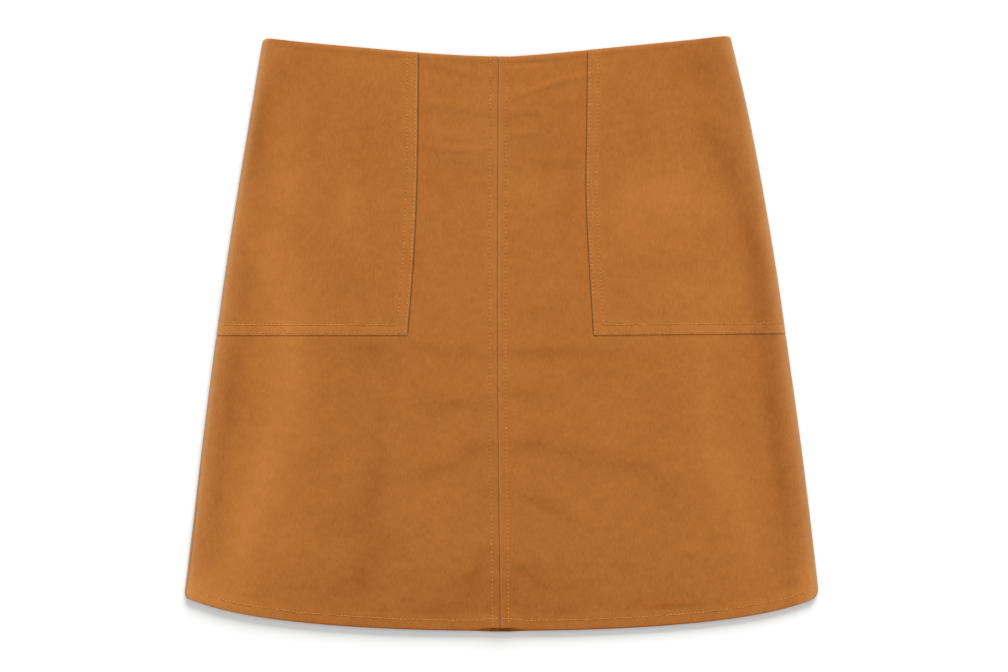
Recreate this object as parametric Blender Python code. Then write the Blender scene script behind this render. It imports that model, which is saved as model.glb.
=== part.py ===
"""A-line mini skirt with a centre front seam and two large patch pockets, lying flat on its back.

Frame: +X is to the viewer's right, +Y runs from the hem to the waist, +Z is up from the surface that the
skirt lies on. The origin is the middle of its outline, on that surface. Sizes below are in millimetres,
and become metres where the meshes are made.

The cloth is a flattened tube: two back panels flat on the surface, two front panels on top of them, and a
soft roll along each side, on which the side seam runs. Each panel is a wall, worked out row by row from
the waist to the hem. A row's drop is how far down the side edge it meets that edge.
"""
import math
from collections import namedtuple

import bmesh
import bpy
from mathutils import Vector

MM = 0.001

# Outline, seen from above
SIDE_LENGTH = 434.0          # side edge, waist corner to hem corner
WAIST_Y = 214.6              # lowest point of the waist curve, at the middle
WAIST_DIP_X = 2.9
WAIST_SLOPE = 0.1            # rise of the waist curve towards each side
WAIST_ROUND_LEFT = 50.0      # how far from the middle the curve straightens out
WAIST_ROUND_RIGHT = 12.4
HEM_Y = -230.3               # lowest point of the hem curve, at the middle
HEM_HALF = 237.0
HEM_SAG = 16.3               # rise of the hem curve from the middle to the corners
HEM_SAG_POWER = 2.3
HEM_CORNER_LIFT = 6.0        # further rise, close to the corners only
HEM_CORNER_POWER = 8.0

Section = namedtuple("Section", "drop left right seam")
SECTIONS = (
    Section(0.0, -184.7, 177.3, -2.4),
    Section(62.0, -194.8, 191.6, -2.8),
    Section(124.0, -205.2, 203.5, -3.1),
    Section(186.0, -214.8, 214.0, -3.2),
    Section(248.0, -223.5, 223.0, -2.9),
    Section(310.0, -231.3, 231.6, -2.4),
    Section(372.0, -238.5, 239.3, -1.7),
    Section(434.0, -245.9, 246.3, -0.9),
)

Corner = namedtuple("Corner", "waist hem")
CORNER_ROUND = {-1: Corner(3.5, 5.0), 1: Corner(2.5, 8.0)}

# Cloth
CLOTH = 1.2                  # one layer
GAP = 0.3                    # between pieces that touch
HEM_TURN = 0.8               # extra thickness where the hem is turned up
HEM_TURN_DEPTH = 10.0
WAIST_TURN = 0.4             # extra thickness where the waist edge is turned in
WAIST_TURN_DEPTH = 7.0
ROLL = 3.0                   # outer radius of the roll along each side
REST_HEIGHT = 2.7            # inner face of the front over the surface, where it lies down
ROLL_REACH = 26.0            # how far in from the roll the front comes down to it
SEAM_RIDGE = 0.6             # the centre front seam's allowances lift the cloth above them
SEAM_RIDGE_HALF = 10.0
FRONT_HEM_STEP = 0.4         # the front hem lies this far short of the back hem
BACK_WAIST_STEP = 0.8        # the back waist edge lies this far below the front's

# Small arch at the middle of the front hem, under which the back hem shows
ARCH_X = -1.3
ARCH_FLAT = 7.0
ARCH_HALF = 24.0
ARCH_SHIFT = 1.8
ARCH_LIFT = 1.2
ARCH_DEPTH = 30.0

# Side seam: its angle on the roll, 0 facing outwards and 90 degrees on top
SeamTurn = namedtuple("SeamTurn", "upper lower start end")
SIDE_SEAM = {-1: SeamTurn(0.0, 74.0, 262.0, 400.0), 1: SeamTurn(-4.0, 14.0, 262.0, 420.0)}
SIDE_SEAM_GAP = GAP / (ROLL - CLOTH)   # as an angle on the roll
ROLL_STEPS_FRONT = 4
ROLL_STEPS_BACK = 6

# Patch pockets: where the inner edge runs, as distances from the frame's middle
PocketEdge = namedtuple("PocketEdge", "drop left right")
POCKET_EDGES = (
    PocketEdge(0.0, -64.7, 66.9),
    PocketEdge(56.0, -65.0, 66.4),
    PocketEdge(112.0, -66.0, 65.7),
    PocketEdge(168.0, -68.5, 68.1),
    PocketEdge(224.0, -72.8, 71.5),
)
POCKET_SIDE_DROP = 227.2     # where the pockets' bottom edge meets the side
POCKET_BOTTOM_Y = -1.1
POCKET_BOTTOM_TILT = 0.0095  # the right pocket's bottom edge climbs a little towards the side
POCKET_RISE = GAP + CLOTH    # how far a pocket's outer face stands off the front
POCKET_FADE = 6.0            # the side edge comes out to the outline over this length below the pocket

# Concealed zip at the centre back
BACK_SEAM_X = 0.0
ZIP_END_DROP = 180.0
ZIP_TOP_DROP = 4.0
TAPE_THICKNESS = 0.6
COIL_RISE = 0.6              # coil above the tape
SLIDER_TOP_Y = 209.3
SLIDER_LENGTH = 8.0
SLIDER_HALF = 2.5
SLIDER_THICKNESS = 1.6
SLIDER_SHOULDER = 1.55       # half width of the body's two ends
SLIDER_TAPER = 3.0           # length of the taper at the lower end, and of the shorter one at the top
SLIDER_TOP_TAPER = 1.2
NECK_HALF = 0.5
NECK_LENGTH = 4.0
NECK_ROOM = 0.9              # half of the seam's opening where the slider's neck passes
NECK_DROPS = (6.0, 11.0)
PLATE_HALF = 2.0
PLATE_LENGTH = 6.5
PLATE_THICKNESS = 0.6
CHEEK = 0.5
CHEEK_BELOW = 0.75           # how far the cheeks reach beyond the pin's axis
PIN_RADIUS = 0.3
EYE_BORE = 0.45
EYE_RADIUS = 0.9
EYE_HALF = 1.2
TAB_LENGTH = 18.0
TAB_HALF = 2.1
TAB_THICKNESS = 0.9
TAB_NECK_HALF = 0.9
TAB_NECK_START = 0.6         # distances from the pin's axis
TAB_NECK_END = 3.0
TAB_FLARE_END = 6.5
TAB_TIP = 2.0                # length of the rounded end
PIVOT = Vector((BACK_SEAM_X, 206.2, 1.05))
ZIP_ROOM = 3.1               # the back is lifted this far where it lies over the slider and the tab
ZIP_ROOM_HALF = 4.5
ZIP_ROOM_FALL = 15.5
ZIP_ROOM_END_Y = 186.0
FRONT_LIFT = 3.8             # the front is lifted over the zip's top end, and falls off softly
FRONT_LIFT_HALF = 5.0
FRONT_LIFT_FALL = 75.0

# Rows and columns of the walls
ROWS = (0.0, 0.6, 1.8, 4.0, 6.0, 11.0, 15.0, 22.0, 32.0, 45.0, 64.0, 96.0, 130.0, 164.0, 198.0, 212.0,
        228.0, 235.0, 270.0, 304.0, 338.0, 372.0, 400.0, 418.0, 426.0, 430.0, 432.4, SIDE_LENGTH)
POCKET_ROWS = (0.0, 0.6, 1.8, 4.0, 11.0, 22.0, 45.0, 64.0, 96.0, 130.0, 164.0, 198.0, 212.0,
               POCKET_SIDE_DROP)
ZIP_ROWS = tuple(row for row in ROWS if ZIP_TOP_DROP <= row < ZIP_END_DROP) + (ZIP_END_DROP,)
EDGE_COLUMNS = (ROLL, 6.5, 11.0, 16.5, 22.5, 30.0)      # distances in from the side edge
FRONT_MIDDLE_COLUMNS = 5
FRONT_SEAM_COLUMNS = (14.0, 8.0, 4.0)                   # distances from the centre front seam
BACK_EDGE_COLUMNS = (ROLL, 14.0)
BACK_MIDDLE_COLUMNS = 2
BACK_SEAM_COLUMNS = (20.0, 12.0, 7.0, 3.2)
TAPE_COLUMNS = (-12.0, -7.0, -3.2, -2.0, 2.0, 3.2, 7.0, 12.0)
COIL_HALF = 2.0
TAPE_NOTCH_HALF = 3.2        # the tape leaves this free on each side of the slider

SHARP_ANGLE = math.radians(50.0)

SUEDE = (0.440, 0.150, 0.033, 1.0)
TAPE = (0.300, 0.110, 0.035, 1.0)
ENAMEL = (0.330, 0.125, 0.045, 1.0)


def clear_scene():
    for obj in list(bpy.data.objects):
        bpy.data.objects.remove(obj, do_unlink=True)


def material(name, colour, roughness, metallic=0.0):
    mat = bpy.data.materials.new(name)
    mat.use_nodes = True
    shader = mat.node_tree.nodes["Principled BSDF"]
    shader.inputs["Base Color"].default_value = colour
    shader.inputs["Roughness"].default_value = roughness
    shader.inputs["Metallic"].default_value = metallic
    return mat


def smooth(value):
    value = min(1.0, max(0.0, value))
    return value * value * (3.0 - 2.0 * value)


def mix(start, end, weight):
    return start + (end - start) * weight


def table_value(table, column, drop):
    """A smooth curve through one column of a table whose rows are evenly spaced."""
    step = table[1].drop - table[0].drop
    place = min(max(drop / step, 0.0), len(table) - 1.0)
    index = min(int(place), len(table) - 2)
    values = [getattr(row, column) for row in table]
    start, end = values[index], values[index + 1]
    before = values[index - 1] if index > 0 else 2.0 * start - end
    after = values[index + 2] if index + 2 < len(values) else 2.0 * end - start
    t = place - index
    slope_in = (end - before) / 2.0
    slope_out = (after - start) / 2.0
    return ((2 * t**3 - 3 * t**2 + 1) * start + (t**3 - 2 * t**2 + t) * slope_in
            + (3 * t**2 - 2 * t**3) * end + (t**3 - t**2) * slope_out)


# ---------------------------------------------------------------- outline

def waist_y(x):
    away = x - WAIST_DIP_X
    rounding = WAIST_ROUND_RIGHT if away > 0.0 else WAIST_ROUND_LEFT
    return WAIST_Y + WAIST_SLOPE * (math.hypot(away, rounding) - rounding)


def hem_y(x):
    part = abs(x) / HEM_HALF
    return HEM_Y + HEM_SAG * part**HEM_SAG_POWER + HEM_CORNER_LIFT * part**HEM_CORNER_POWER


def row_y(x, drop):
    return mix(waist_y(x), hem_y(x), drop / SIDE_LENGTH)


def drop_at(x, y):
    return SIDE_LENGTH * (waist_y(x) - y) / (waist_y(x) - hem_y(x))


def corner_inset(radius, from_corner):
    """How far a rounded corner draws the side edge in, at a distance from the corner."""
    into = min(radius, max(0.0, radius - from_corner))
    return radius - math.sqrt(radius**2 - into**2)


def outline_x(side, drop):
    column = "left" if side < 0 else "right"
    corner = CORNER_ROUND[side]
    inset = corner_inset(corner.waist, drop) + corner_inset(corner.hem, SIDE_LENGTH - drop)
    return table_value(SECTIONS, column, drop) - side * inset


def tube_x(side, drop):
    """The cloth tube's own edge, which lies inside the outline where a pocket covers it."""
    cover = 1.0 - smooth((drop - POCKET_SIDE_DROP) / POCKET_FADE)
    return outline_x(side, drop) - side * POCKET_RISE * cover


def front_seam_x(drop):
    return table_value(SECTIONS, "seam", drop)


def pocket_edge_x(side, drop):
    return table_value(POCKET_EDGES, "left" if side < 0 else "right", drop)


def pocket_bottom_y(x):
    return POCKET_BOTTOM_Y + POCKET_BOTTOM_TILT * max(0.0, x - pocket_edge_x(1, POCKET_SIDE_DROP))


# ---------------------------------------------------------------- heights

def thickness(drop):
    hem = smooth((drop - (SIDE_LENGTH - 1.6 * HEM_TURN_DEPTH)) / (0.6 * HEM_TURN_DEPTH))
    waist = 1.0 - smooth((drop - 0.5 * WAIST_TURN_DEPTH) / WAIST_TURN_DEPTH)
    return CLOTH + HEM_TURN * hem + WAIST_TURN * waist


def back_bottom(x, y):
    """The back's outer face: flat on the surface, but lifted over the zip's slider and tab."""
    across = 1.0 - smooth((abs(x - BACK_SEAM_X) - ZIP_ROOM_HALF) / ZIP_ROOM_FALL)
    along = 1.0 - smooth((ZIP_ROOM_END_Y - y) / ZIP_ROOM_FALL)
    return ZIP_ROOM * across * along


def arch(x, drop):
    across = 1.0 - smooth((abs(x - ARCH_X) - ARCH_FLAT) / (ARCH_HALF - ARCH_FLAT))
    return across * smooth((drop - (SIDE_LENGTH - ARCH_DEPTH)) / ARCH_DEPTH)


def front_top(x, y, side):
    """The front's outer face, in from the roll along the side."""
    drop = drop_at(x, y)
    ridge = SEAM_RIDGE * (1.0 - smooth(abs(x - front_seam_x(drop)) / SEAM_RIDGE_HALF))
    from_zip = math.hypot(x - BACK_SEAM_X, max(0.0, ZIP_ROOM_END_Y - y))
    lift = FRONT_LIFT * (1.0 - smooth((from_zip - FRONT_LIFT_HALF) / FRONT_LIFT_FALL))
    lying = REST_HEIGHT + thickness(drop) + ridge + lift + ARCH_LIFT * arch(x, drop)
    from_edge = abs(tube_x(side, drop) - x)
    return mix(2.0 * ROLL, lying, smooth((from_edge - ROLL) / ROLL_REACH))


# ---------------------------------------------------------------- walls

def side_seam_angle(side, drop):
    turn = SIDE_SEAM[side]
    return math.radians(mix(turn.upper, turn.lower, smooth((drop - turn.start) / (turn.end - turn.start))))


def pocket_y(x, drop):
    return mix(waist_y(x), pocket_bottom_y(x), drop / POCKET_SIDE_DROP)


def roll_points(side, drop, angles, outer_radius, inner_radius, y_at=row_y):
    """Pairs of outer and inner points around the roll along one side, for one row."""
    middle_x = tube_x(side, drop) - side * ROLL
    pairs = []
    for angle in angles:
        y = y_at(middle_x + side * ROLL * math.cos(angle), drop)
        pairs.append(tuple(
            Vector((middle_x + side * radius * math.cos(angle), y, ROLL + radius * math.sin(angle)))
            for radius in (outer_radius, inner_radius)))
    return pairs


def between(start, end, count):
    return [mix(start, end, (index + 1) / (count + 1)) for index in range(count)]


def front_row(side, drop):
    wall = thickness(drop)
    start = side_seam_angle(side, drop) + SIDE_SEAM_GAP / 2.0
    angles = [mix(start, math.pi / 2.0, step / ROLL_STEPS_FRONT) for step in range(ROLL_STEPS_FRONT)]
    pairs = roll_points(side, drop, angles, ROLL, ROLL - wall)
    edge, seam = tube_x(side, drop), front_seam_x(drop)
    columns = [edge - side * offset for offset in EDGE_COLUMNS]
    inner = [seam + side * offset for offset in FRONT_SEAM_COLUMNS]
    columns += between(columns[-1], inner[0], FRONT_MIDDLE_COLUMNS) + inner + [seam + side * GAP / 2.0]
    for x in columns:
        y = row_y(x, drop)
        top = front_top(x, y, side)
        shift = ARCH_SHIFT * arch(x, drop)
        pairs.append((Vector((x, y + shift, top)), Vector((x, y + shift, top - wall))))
    step = FRONT_HEM_STEP * smooth((drop - (SIDE_LENGTH - ARCH_DEPTH)) / ARCH_DEPTH)
    for outer, lower in pairs:
        outer.y += step
        lower.y += step
    return pairs


def back_seam_half_gap(drop):
    return NECK_ROOM if NECK_DROPS[0] <= drop <= NECK_DROPS[1] else GAP / 2.0


def back_row(side, drop):
    wall = thickness(drop)
    start = side_seam_angle(side, drop) - SIDE_SEAM_GAP / 2.0
    angles = [mix(start, -math.pi / 2.0, step / ROLL_STEPS_BACK) for step in range(ROLL_STEPS_BACK)]
    pairs = roll_points(side, drop, angles, ROLL, ROLL - wall)
    columns = [tube_x(side, drop) - side * offset for offset in BACK_EDGE_COLUMNS]
    inner = [BACK_SEAM_X + side * offset for offset in BACK_SEAM_COLUMNS]
    columns += between(columns[-1], inner[0], BACK_MIDDLE_COLUMNS) + inner
    columns.append(BACK_SEAM_X + side * back_seam_half_gap(drop))
    for x in columns:
        y = row_y(x, drop)
        bottom = back_bottom(x, y)
        pairs.append((Vector((x, y, bottom)), Vector((x, y, bottom + wall))))
    step = BACK_WAIST_STEP * (1.0 - smooth(drop / ARCH_DEPTH))
    for outer, upper in pairs:
        outer.y -= step
        upper.y -= step
    return pairs


def pocket_row(side, drop):
    start = side_seam_angle(side, drop) + SIDE_SEAM_GAP / 2.0
    angles = [mix(start, math.pi / 2.0, step / ROLL_STEPS_FRONT) for step in range(ROLL_STEPS_FRONT)]
    pairs = roll_points(side, drop, angles, ROLL + POCKET_RISE, ROLL + GAP, pocket_y)
    columns = [tube_x(side, drop) - side * offset for offset in EDGE_COLUMNS]
    inner = pocket_edge_x(side, drop)
    columns += between(columns[-1], inner, FRONT_MIDDLE_COLUMNS - 2) + [inner]
    for x in columns:
        y = pocket_y(x, drop)
        front = front_top(x, y, side)
        pairs.append((Vector((x, y, front + POCKET_RISE)), Vector((x, y, front + GAP))))
    return pairs


def tape_row(drop):
    pairs = []
    for x in TAPE_COLUMNS:
        y = row_y(x, drop)
        bottom = back_bottom(x, y) + thickness(drop) + GAP
        coil = COIL_RISE if abs(x) <= COIL_HALF else 0.0
        pairs.append((Vector((x, y, bottom + TAPE_THICKNESS + coil)), Vector((x, y, bottom))))
    return pairs


def wall_mesh(name, rows, keep=lambda row, column: True):
    """A closed wall from rows of (outer, inner) points. keep says which cells of the grid it has."""
    bm = bmesh.new()
    corners = {}

    def corner(layer, place):
        if (layer, place) not in corners:
            row, column = place
            corners[layer, place] = bm.verts.new(rows[row][column][layer] * MM)
        return corners[layer, place]

    cells = [(row, column) for row in range(len(rows) - 1) for column in range(len(rows[0]) - 1)
             if keep(row, column)]
    border = set()
    for row, column in cells:
        a, b = (row, column), (row, column + 1)
        c, d = (row + 1, column + 1), (row + 1, column)
        # The diagonal runs the same way, seen from above, on each wall, so that walls nest
        rightward = rows[row][column][0].x < rows[row][column + 1][0].x
        for triangle in ((a, b, c), (a, c, d)) if rightward else ((a, b, d), (b, c, d)):
            bm.faces.new([corner(0, place) for place in triangle])
            bm.faces.new([corner(1, place) for place in reversed(triangle)])
        for start, end in ((a, b), (b, c), (c, d), (d, a)):
            if (end, start) in border:
                border.remove((end, start))
            else:
                border.add((start, end))
    for start, end in sorted(border):
        bm.faces.new([corner(0, end), corner(0, start), corner(1, start), corner(1, end)])
    return finish_mesh(name, bm)


def finish_mesh(name, bm):
    bmesh.ops.recalc_face_normals(bm, faces=bm.faces)
    mesh = bpy.data.meshes.new(name)
    bm.to_mesh(mesh)
    bm.free()
    mesh.shade_smooth()
    mesh.set_sharp_from_angle(angle=SHARP_ANGLE)
    return mesh


def add_object(name, mesh, mat, location=(0.0, 0.0, 0.0)):
    obj = bpy.data.objects.new(name, mesh)
    obj.location = location
    mesh.materials.append(mat)
    bpy.context.scene.collection.objects.link(obj)
    return obj


# ---------------------------------------------------------------- cloth pieces

def make_front(name, side):
    rows = [front_row(side, drop) for drop in ROWS]
    add_object(name, wall_mesh(name, rows), material(name, SUEDE, 0.9))


def make_back(name, side):
    rows = [back_row(side, drop) for drop in ROWS]
    add_object(name, wall_mesh(name, rows), material(name, SUEDE, 0.9))


def make_pocket(name, side):
    rows = [pocket_row(side, drop) for drop in POCKET_ROWS]
    add_object(name, wall_mesh(name, rows), material(name, SUEDE, 0.9))


def make_zip_tape(name):
    """Tape and closed coil in one, with a notch at the top in which the slider sits."""
    def keep(row, column):
        beside = TAPE_COLUMNS[column] < -TAPE_NOTCH_HALF or TAPE_COLUMNS[column] >= TAPE_NOTCH_HALF
        return beside or ZIP_ROWS[row] > NECK_DROPS[1]

    rows = [tape_row(drop) for drop in ZIP_ROWS]
    add_object(name, wall_mesh(name, rows, keep), material(name, TAPE, 0.85))


# ---------------------------------------------------------------- zip slider and pull tab

def prism(outline, start, end, axis):
    """A closed bmesh: an outline of 2D points pushed along X (YZ outline) or Z (XY outline)."""
    def place(point, depth):
        values = (depth, *point) if axis == "X" else (*point, depth)
        return Vector(values) * MM

    bm = bmesh.new()
    low = [bm.verts.new(place(point, start)) for point in outline]
    high = [bm.verts.new(place(point, end)) for point in outline]
    bm.faces.new(low[::-1])
    bm.faces.new(high)
    for index in range(len(outline)):
        after = (index + 1) % len(outline)
        bm.faces.new([low[index], low[after], high[after], high[index]])
    return bm


def rectangle(low, high):
    return [(low[0], low[1]), (high[0], low[1]), (high[0], high[1]), (low[0], high[1])]


def circle(middle, radius, sides=16):
    turns = [2.0 * math.pi * index / sides for index in range(sides)]
    return [(middle[0] + radius * math.cos(turn), middle[1] + radius * math.sin(turn)) for turn in turns]


def boolean(obj, bm, operation):
    """Join a closed bmesh to an object, or cut it out, in the object's own coordinates."""
    tool = bpy.data.objects.new("tool", finish_mesh("tool", bm))
    tool.location = obj.location
    bpy.context.scene.collection.objects.link(tool)
    modifier = obj.modifiers.new("cut", "BOOLEAN")
    modifier.operation = operation
    modifier.solver = "EXACT"
    modifier.object = tool
    graph = bpy.context.evaluated_depsgraph_get()
    graph.update()
    result = bpy.data.meshes.new_from_object(obj.evaluated_get(graph))
    obj.modifiers.remove(modifier)
    obj.data = result
    bpy.data.objects.remove(tool, do_unlink=True)


def make_zip_slider(name):
    """Body inside the skirt, neck through the seam, and a plate with two cheeks and a pin outside it."""
    overlap = 0.1
    plate_top = ZIP_ROOM - GAP
    plate_bottom = plate_top - PLATE_THICKNESS
    body_bottom = ZIP_ROOM + CLOTH + WAIST_TURN + GAP
    end_y = SLIDER_TOP_Y - SLIDER_LENGTH
    low_y, high_y = end_y + SLIDER_TAPER, SLIDER_TOP_Y - SLIDER_TOP_TAPER
    outline = [(-SLIDER_SHOULDER, end_y), (SLIDER_SHOULDER, end_y), (SLIDER_HALF, low_y),
               (SLIDER_HALF, high_y), (SLIDER_SHOULDER, SLIDER_TOP_Y), (-SLIDER_SHOULDER, SLIDER_TOP_Y),
               (-SLIDER_HALF, high_y), (-SLIDER_HALF, low_y)]
    body = prism(outline, body_bottom, body_bottom + SLIDER_THICKNESS, "Z")
    slider = add_object(name, finish_mesh(name, body), material(name, ENAMEL, 0.45, 0.6))

    neck_low = (-NECK_HALF, PIVOT.y - NECK_LENGTH / 2.0)
    neck_high = (NECK_HALF, PIVOT.y + NECK_LENGTH / 2.0)
    boolean(slider, prism(rectangle(neck_low, neck_high), plate_bottom + overlap, body_bottom + overlap, "Z"),
            "UNION")
    plate_low = (-PLATE_HALF, PIVOT.y - PLATE_LENGTH / 2.0)
    plate_high = (PLATE_HALF, PIVOT.y + PLATE_LENGTH / 2.0)
    boolean(slider, prism(rectangle(plate_low, plate_high), plate_bottom, plate_top, "Z"), "UNION")
    cheek_low = (PIVOT.y - EYE_RADIUS, PIVOT.z - CHEEK_BELOW)
    cheek_high = (PIVOT.y + EYE_RADIUS, plate_bottom + overlap)
    for side in (-1, 1):
        near, far = side * (PLATE_HALF - CHEEK), side * PLATE_HALF
        boolean(slider, prism(rectangle(cheek_low, cheek_high), min(near, far), max(near, far), "X"), "UNION")
    reach = PLATE_HALF - CHEEK / 2.0
    boolean(slider, prism(circle((PIVOT.y, PIVOT.z), PIN_RADIUS), -reach, reach, "X"), "UNION")


def make_pull_tab(name):
    """Flat tab with a round eye on the slider's pin. Its origin is on the pin's axis."""
    eye = prism(circle((0.0, 0.0), EYE_RADIUS, 20), -EYE_HALF, EYE_HALF, "X")
    tab = add_object(name, finish_mesh(name, eye), material(name, ENAMEL, 0.45, 0.6), PIVOT * MM)
    tip_y, tip_steps = TAB_TIP - TAB_LENGTH, 8
    left = [(-TAB_NECK_HALF, -TAB_NECK_START), (-TAB_NECK_HALF, -TAB_NECK_END),
            (-TAB_HALF, -TAB_FLARE_END), (-TAB_HALF, tip_y)]
    turns = [math.pi * step / tip_steps for step in range(1, tip_steps)]
    end = [(-TAB_HALF * math.cos(turn), tip_y - TAB_TIP * math.sin(turn)) for turn in turns]
    shape = left + end + [(-x, y) for x, y in reversed(left)]
    boolean(tab, prism(shape, -TAB_THICKNESS / 2.0, TAB_THICKNESS / 2.0, "Z"), "UNION")
    boolean(tab, prism(circle((0.0, 0.0), EYE_BORE, 20), -2.0 * EYE_HALF, 2.0 * EYE_HALF, "X"), "DIFFERENCE")


def main():
    clear_scene()
    for name, side in (("left", -1), ("right", 1)):
        make_back("back_" + name, side)
        make_front("front_" + name, side)
        make_pocket("pocket_" + name, side)
    make_zip_tape("zip_tape")
    make_zip_slider("zip_slider")
    make_pull_tab("pull_tab")


main()
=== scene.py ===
"""Looks for the a-line skirt: suede-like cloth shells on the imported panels, with their folded edges,
creases, topstitching, zip and studio light.

Sizes are in millimetres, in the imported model's own frame, and become metres where a mesh is made. The
outline repeats the part's own formulas, so each shell lies where its solid lies. Only the pockets and the
rolls near the hem differ, being pressed flatter. A row's drop is how far down the side edge it meets that
edge, from the waist.
"""
import math
from collections import namedtuple

import bpy
import numpy as np
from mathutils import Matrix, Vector


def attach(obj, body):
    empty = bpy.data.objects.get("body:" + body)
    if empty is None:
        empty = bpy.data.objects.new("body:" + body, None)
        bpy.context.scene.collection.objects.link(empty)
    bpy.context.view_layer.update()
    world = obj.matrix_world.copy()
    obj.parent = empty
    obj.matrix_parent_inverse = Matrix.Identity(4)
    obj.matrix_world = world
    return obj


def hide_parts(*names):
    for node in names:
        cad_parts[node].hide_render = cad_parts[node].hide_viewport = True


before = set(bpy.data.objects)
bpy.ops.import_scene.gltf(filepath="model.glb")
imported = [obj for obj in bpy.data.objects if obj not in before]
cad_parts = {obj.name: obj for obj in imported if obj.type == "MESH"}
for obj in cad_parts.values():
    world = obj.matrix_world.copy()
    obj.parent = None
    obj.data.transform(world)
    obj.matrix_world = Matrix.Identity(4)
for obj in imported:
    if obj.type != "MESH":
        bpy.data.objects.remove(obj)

MM = 0.001
TINY = 1e-9
SIDES = (("left", -1), ("right", 1))

# ---- the part's sizes

SIDE_LENGTH = 434.0
WAIST_Y = 214.6
WAIST_DIP_X = 2.9
WAIST_SLOPE = 0.1
WAIST_ROUND_LEFT = 50.0
WAIST_ROUND_RIGHT = 12.4
HEM_Y = -230.3
HEM_HALF = 237.0
HEM_SAG = 16.3
HEM_SAG_POWER = 2.3
HEM_CORNER_LIFT = 6.0
HEM_CORNER_POWER = 8.0

Section = namedtuple("Section", "drop left right seam")
SECTIONS = [Section(*row) for row in (
    (0, -184.7, 177.3, -2.4),
    (62, -194.8, 191.6, -2.8),
    (124, -205.2, 203.5, -3.1),
    (186, -214.8, 214.0, -3.2),
    (248, -223.5, 223.0, -2.9),
    (310, -231.3, 231.6, -2.4),
    (372, -238.5, 239.3, -1.7),
    (434, -245.9, 246.3, -0.9),
)]

Corner = namedtuple("Corner", "waist hem")
CORNER_ROUND = {-1: Corner(3.5, 5.0), 1: Corner(2.5, 8.0)}

CLOTH = 1.2
GAP = 0.3
ROLL = 3.0
REST_HEIGHT = 2.7
ROLL_REACH = 26.0
SEAM_RIDGE = 0.6
SEAM_RIDGE_HALF = 10.0
FRONT_HEM_STEP = 0.4
BACK_WAIST_STEP = 0.8

ARCH_X = -1.3
ARCH_FLAT = 7.0
ARCH_HALF = 24.0
ARCH_SHIFT = 1.8
ARCH_LIFT = 1.2
ARCH_DEPTH = 30.0

SeamTurn = namedtuple("SeamTurn", "upper lower start end")
SIDE_SEAM = {-1: SeamTurn(0.0, 74.0, 262.0, 400.0), 1: SeamTurn(-4.0, 14.0, 262.0, 420.0)}

PocketEdge = namedtuple("PocketEdge", "drop left right")
POCKET_EDGES = [PocketEdge(*row) for row in (
    (0, -64.7, 66.9),
    (56, -65.0, 66.4),
    (112, -66.0, 65.7),
    (168, -68.5, 68.1),
    (224, -72.8, 71.5),
)]
POCKET_SIDE_DROP = 227.2
POCKET_BOTTOM_Y = -1.1
POCKET_BOTTOM_TILT = 0.0095
POCKET_RISE = 0.5  # pressed flat, so less than the solid's
POCKET_FADE = 3.0

BACK_SEAM_X = 0.0
ZIP_TOP_DROP = 4.0
ZIP_END_DROP = 180.0
ZIP_ROOM = 3.1
ZIP_ROOM_HALF = 4.5
ZIP_ROOM_FALL = 15.5
ZIP_ROOM_END_Y = 186.0
FRONT_LIFT = 3.8
FRONT_LIFT_HALF = 5.0
FRONT_LIFT_FALL = 75.0
TAPE_HALF = 12.0
TAPE_NOTCH_HALF = 3.2
TAPE_NOTCH_DROP = 11.0
TAPE_THICKNESS = 0.6
TAPE_MEET = 0.05  # half of the gap between the two bands below the notch
TAPE_COLUMNS = 14
COIL_HALF = 2.0
COIL_RISE = 0.6
COIL_PITCH = 1.3
COIL_WIRE = 0.28
COIL_SIDES = 6
COIL_RINGS = 5
COIL_BEND = 0.22

# ---- cloth detail

HEM_ROLL = {-1: 2.1, 1: 1.8}  # the roll along each side is pressed down towards the hem
ROLL_FLATTENS = 300.0
HEM_TILT = 0.5  # the left half of the hem lies this much higher, the right half lower

FOLD = 0.55  # radius of a folded edge
HEM_FOLD = 0.75
BACK_HEM_SWELL = 1.1  # how much fuller the back's turned hem is under the front's arch
BACK_HEM_LIFT = 0.7  # and how far up it is drawn there
POCKET_FOLD = 0.24
SIDE_FOLD = 0.26
POCKET_TROUGH = 1.1  # the front dips under a pocket's inner edge
POCKET_TROUGH_HALF = 0.7
FOLD_STEPS = 6
HEM_TURN_DEPTH = 10.0
HEM_RISE = 0.3  # how far the turned hem shows through as a step
HEM_RISE_START = 14.0  # how far above the hem the step starts, and how soon it is full
HEM_RISE_REACH = 8.0
WAIST_RISE = 0.15
WAIST_TURN_DEPTH = 7.0
WAIST_STEP = (3.0, 6.0)  # where the turned waist ends, below its edge
WAIST_ROUND = 0.35
WAIST_ROUND_REACH = 2.6
POCKET_TURN_DEPTH = 9.0
SEAM_ALLOWANCE = 9.0
SEAM_CLEAR = 0.07  # half of what is left open between two folded edges in a seam
SIDE_CLEAR = 0.04  # the same in a side seam and in the back seam
SIDE_ALLOWANCE = 3.0

# Mesh spacing
FINE = 0.5
EDGE_STEP = 1.0
CLOTH_STEP = 1.8
BACK_STEP = 3.0
SEAM_ZONE = 10.0  # finely divided strip beside a seam or a turned edge
PANEL_ENDS = (8.0, 13.0)  # finely divided rows at a panel's waist and hem
POCKET_ENDS = (6.0, 11.0)
EDGE_ZONE = 33.0  # strip beside the side edge that has its own spacing
POCKET_STRIP = 3.2  # half of the fine strip in the front along a pocket's inner edge
POCKET_STRIP_STEP = 0.4
FRONT_ROLL_STEPS = 14
BACK_ROLL_STEPS = 18
POCKET_X = abs(POCKET_EDGES[0].left)  # places from the middle that the numbers of columns go by
POCKET_SIDE_X = abs(SECTIONS[2].left)
PANEL_X = abs(SECTIONS[4].left)

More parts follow.
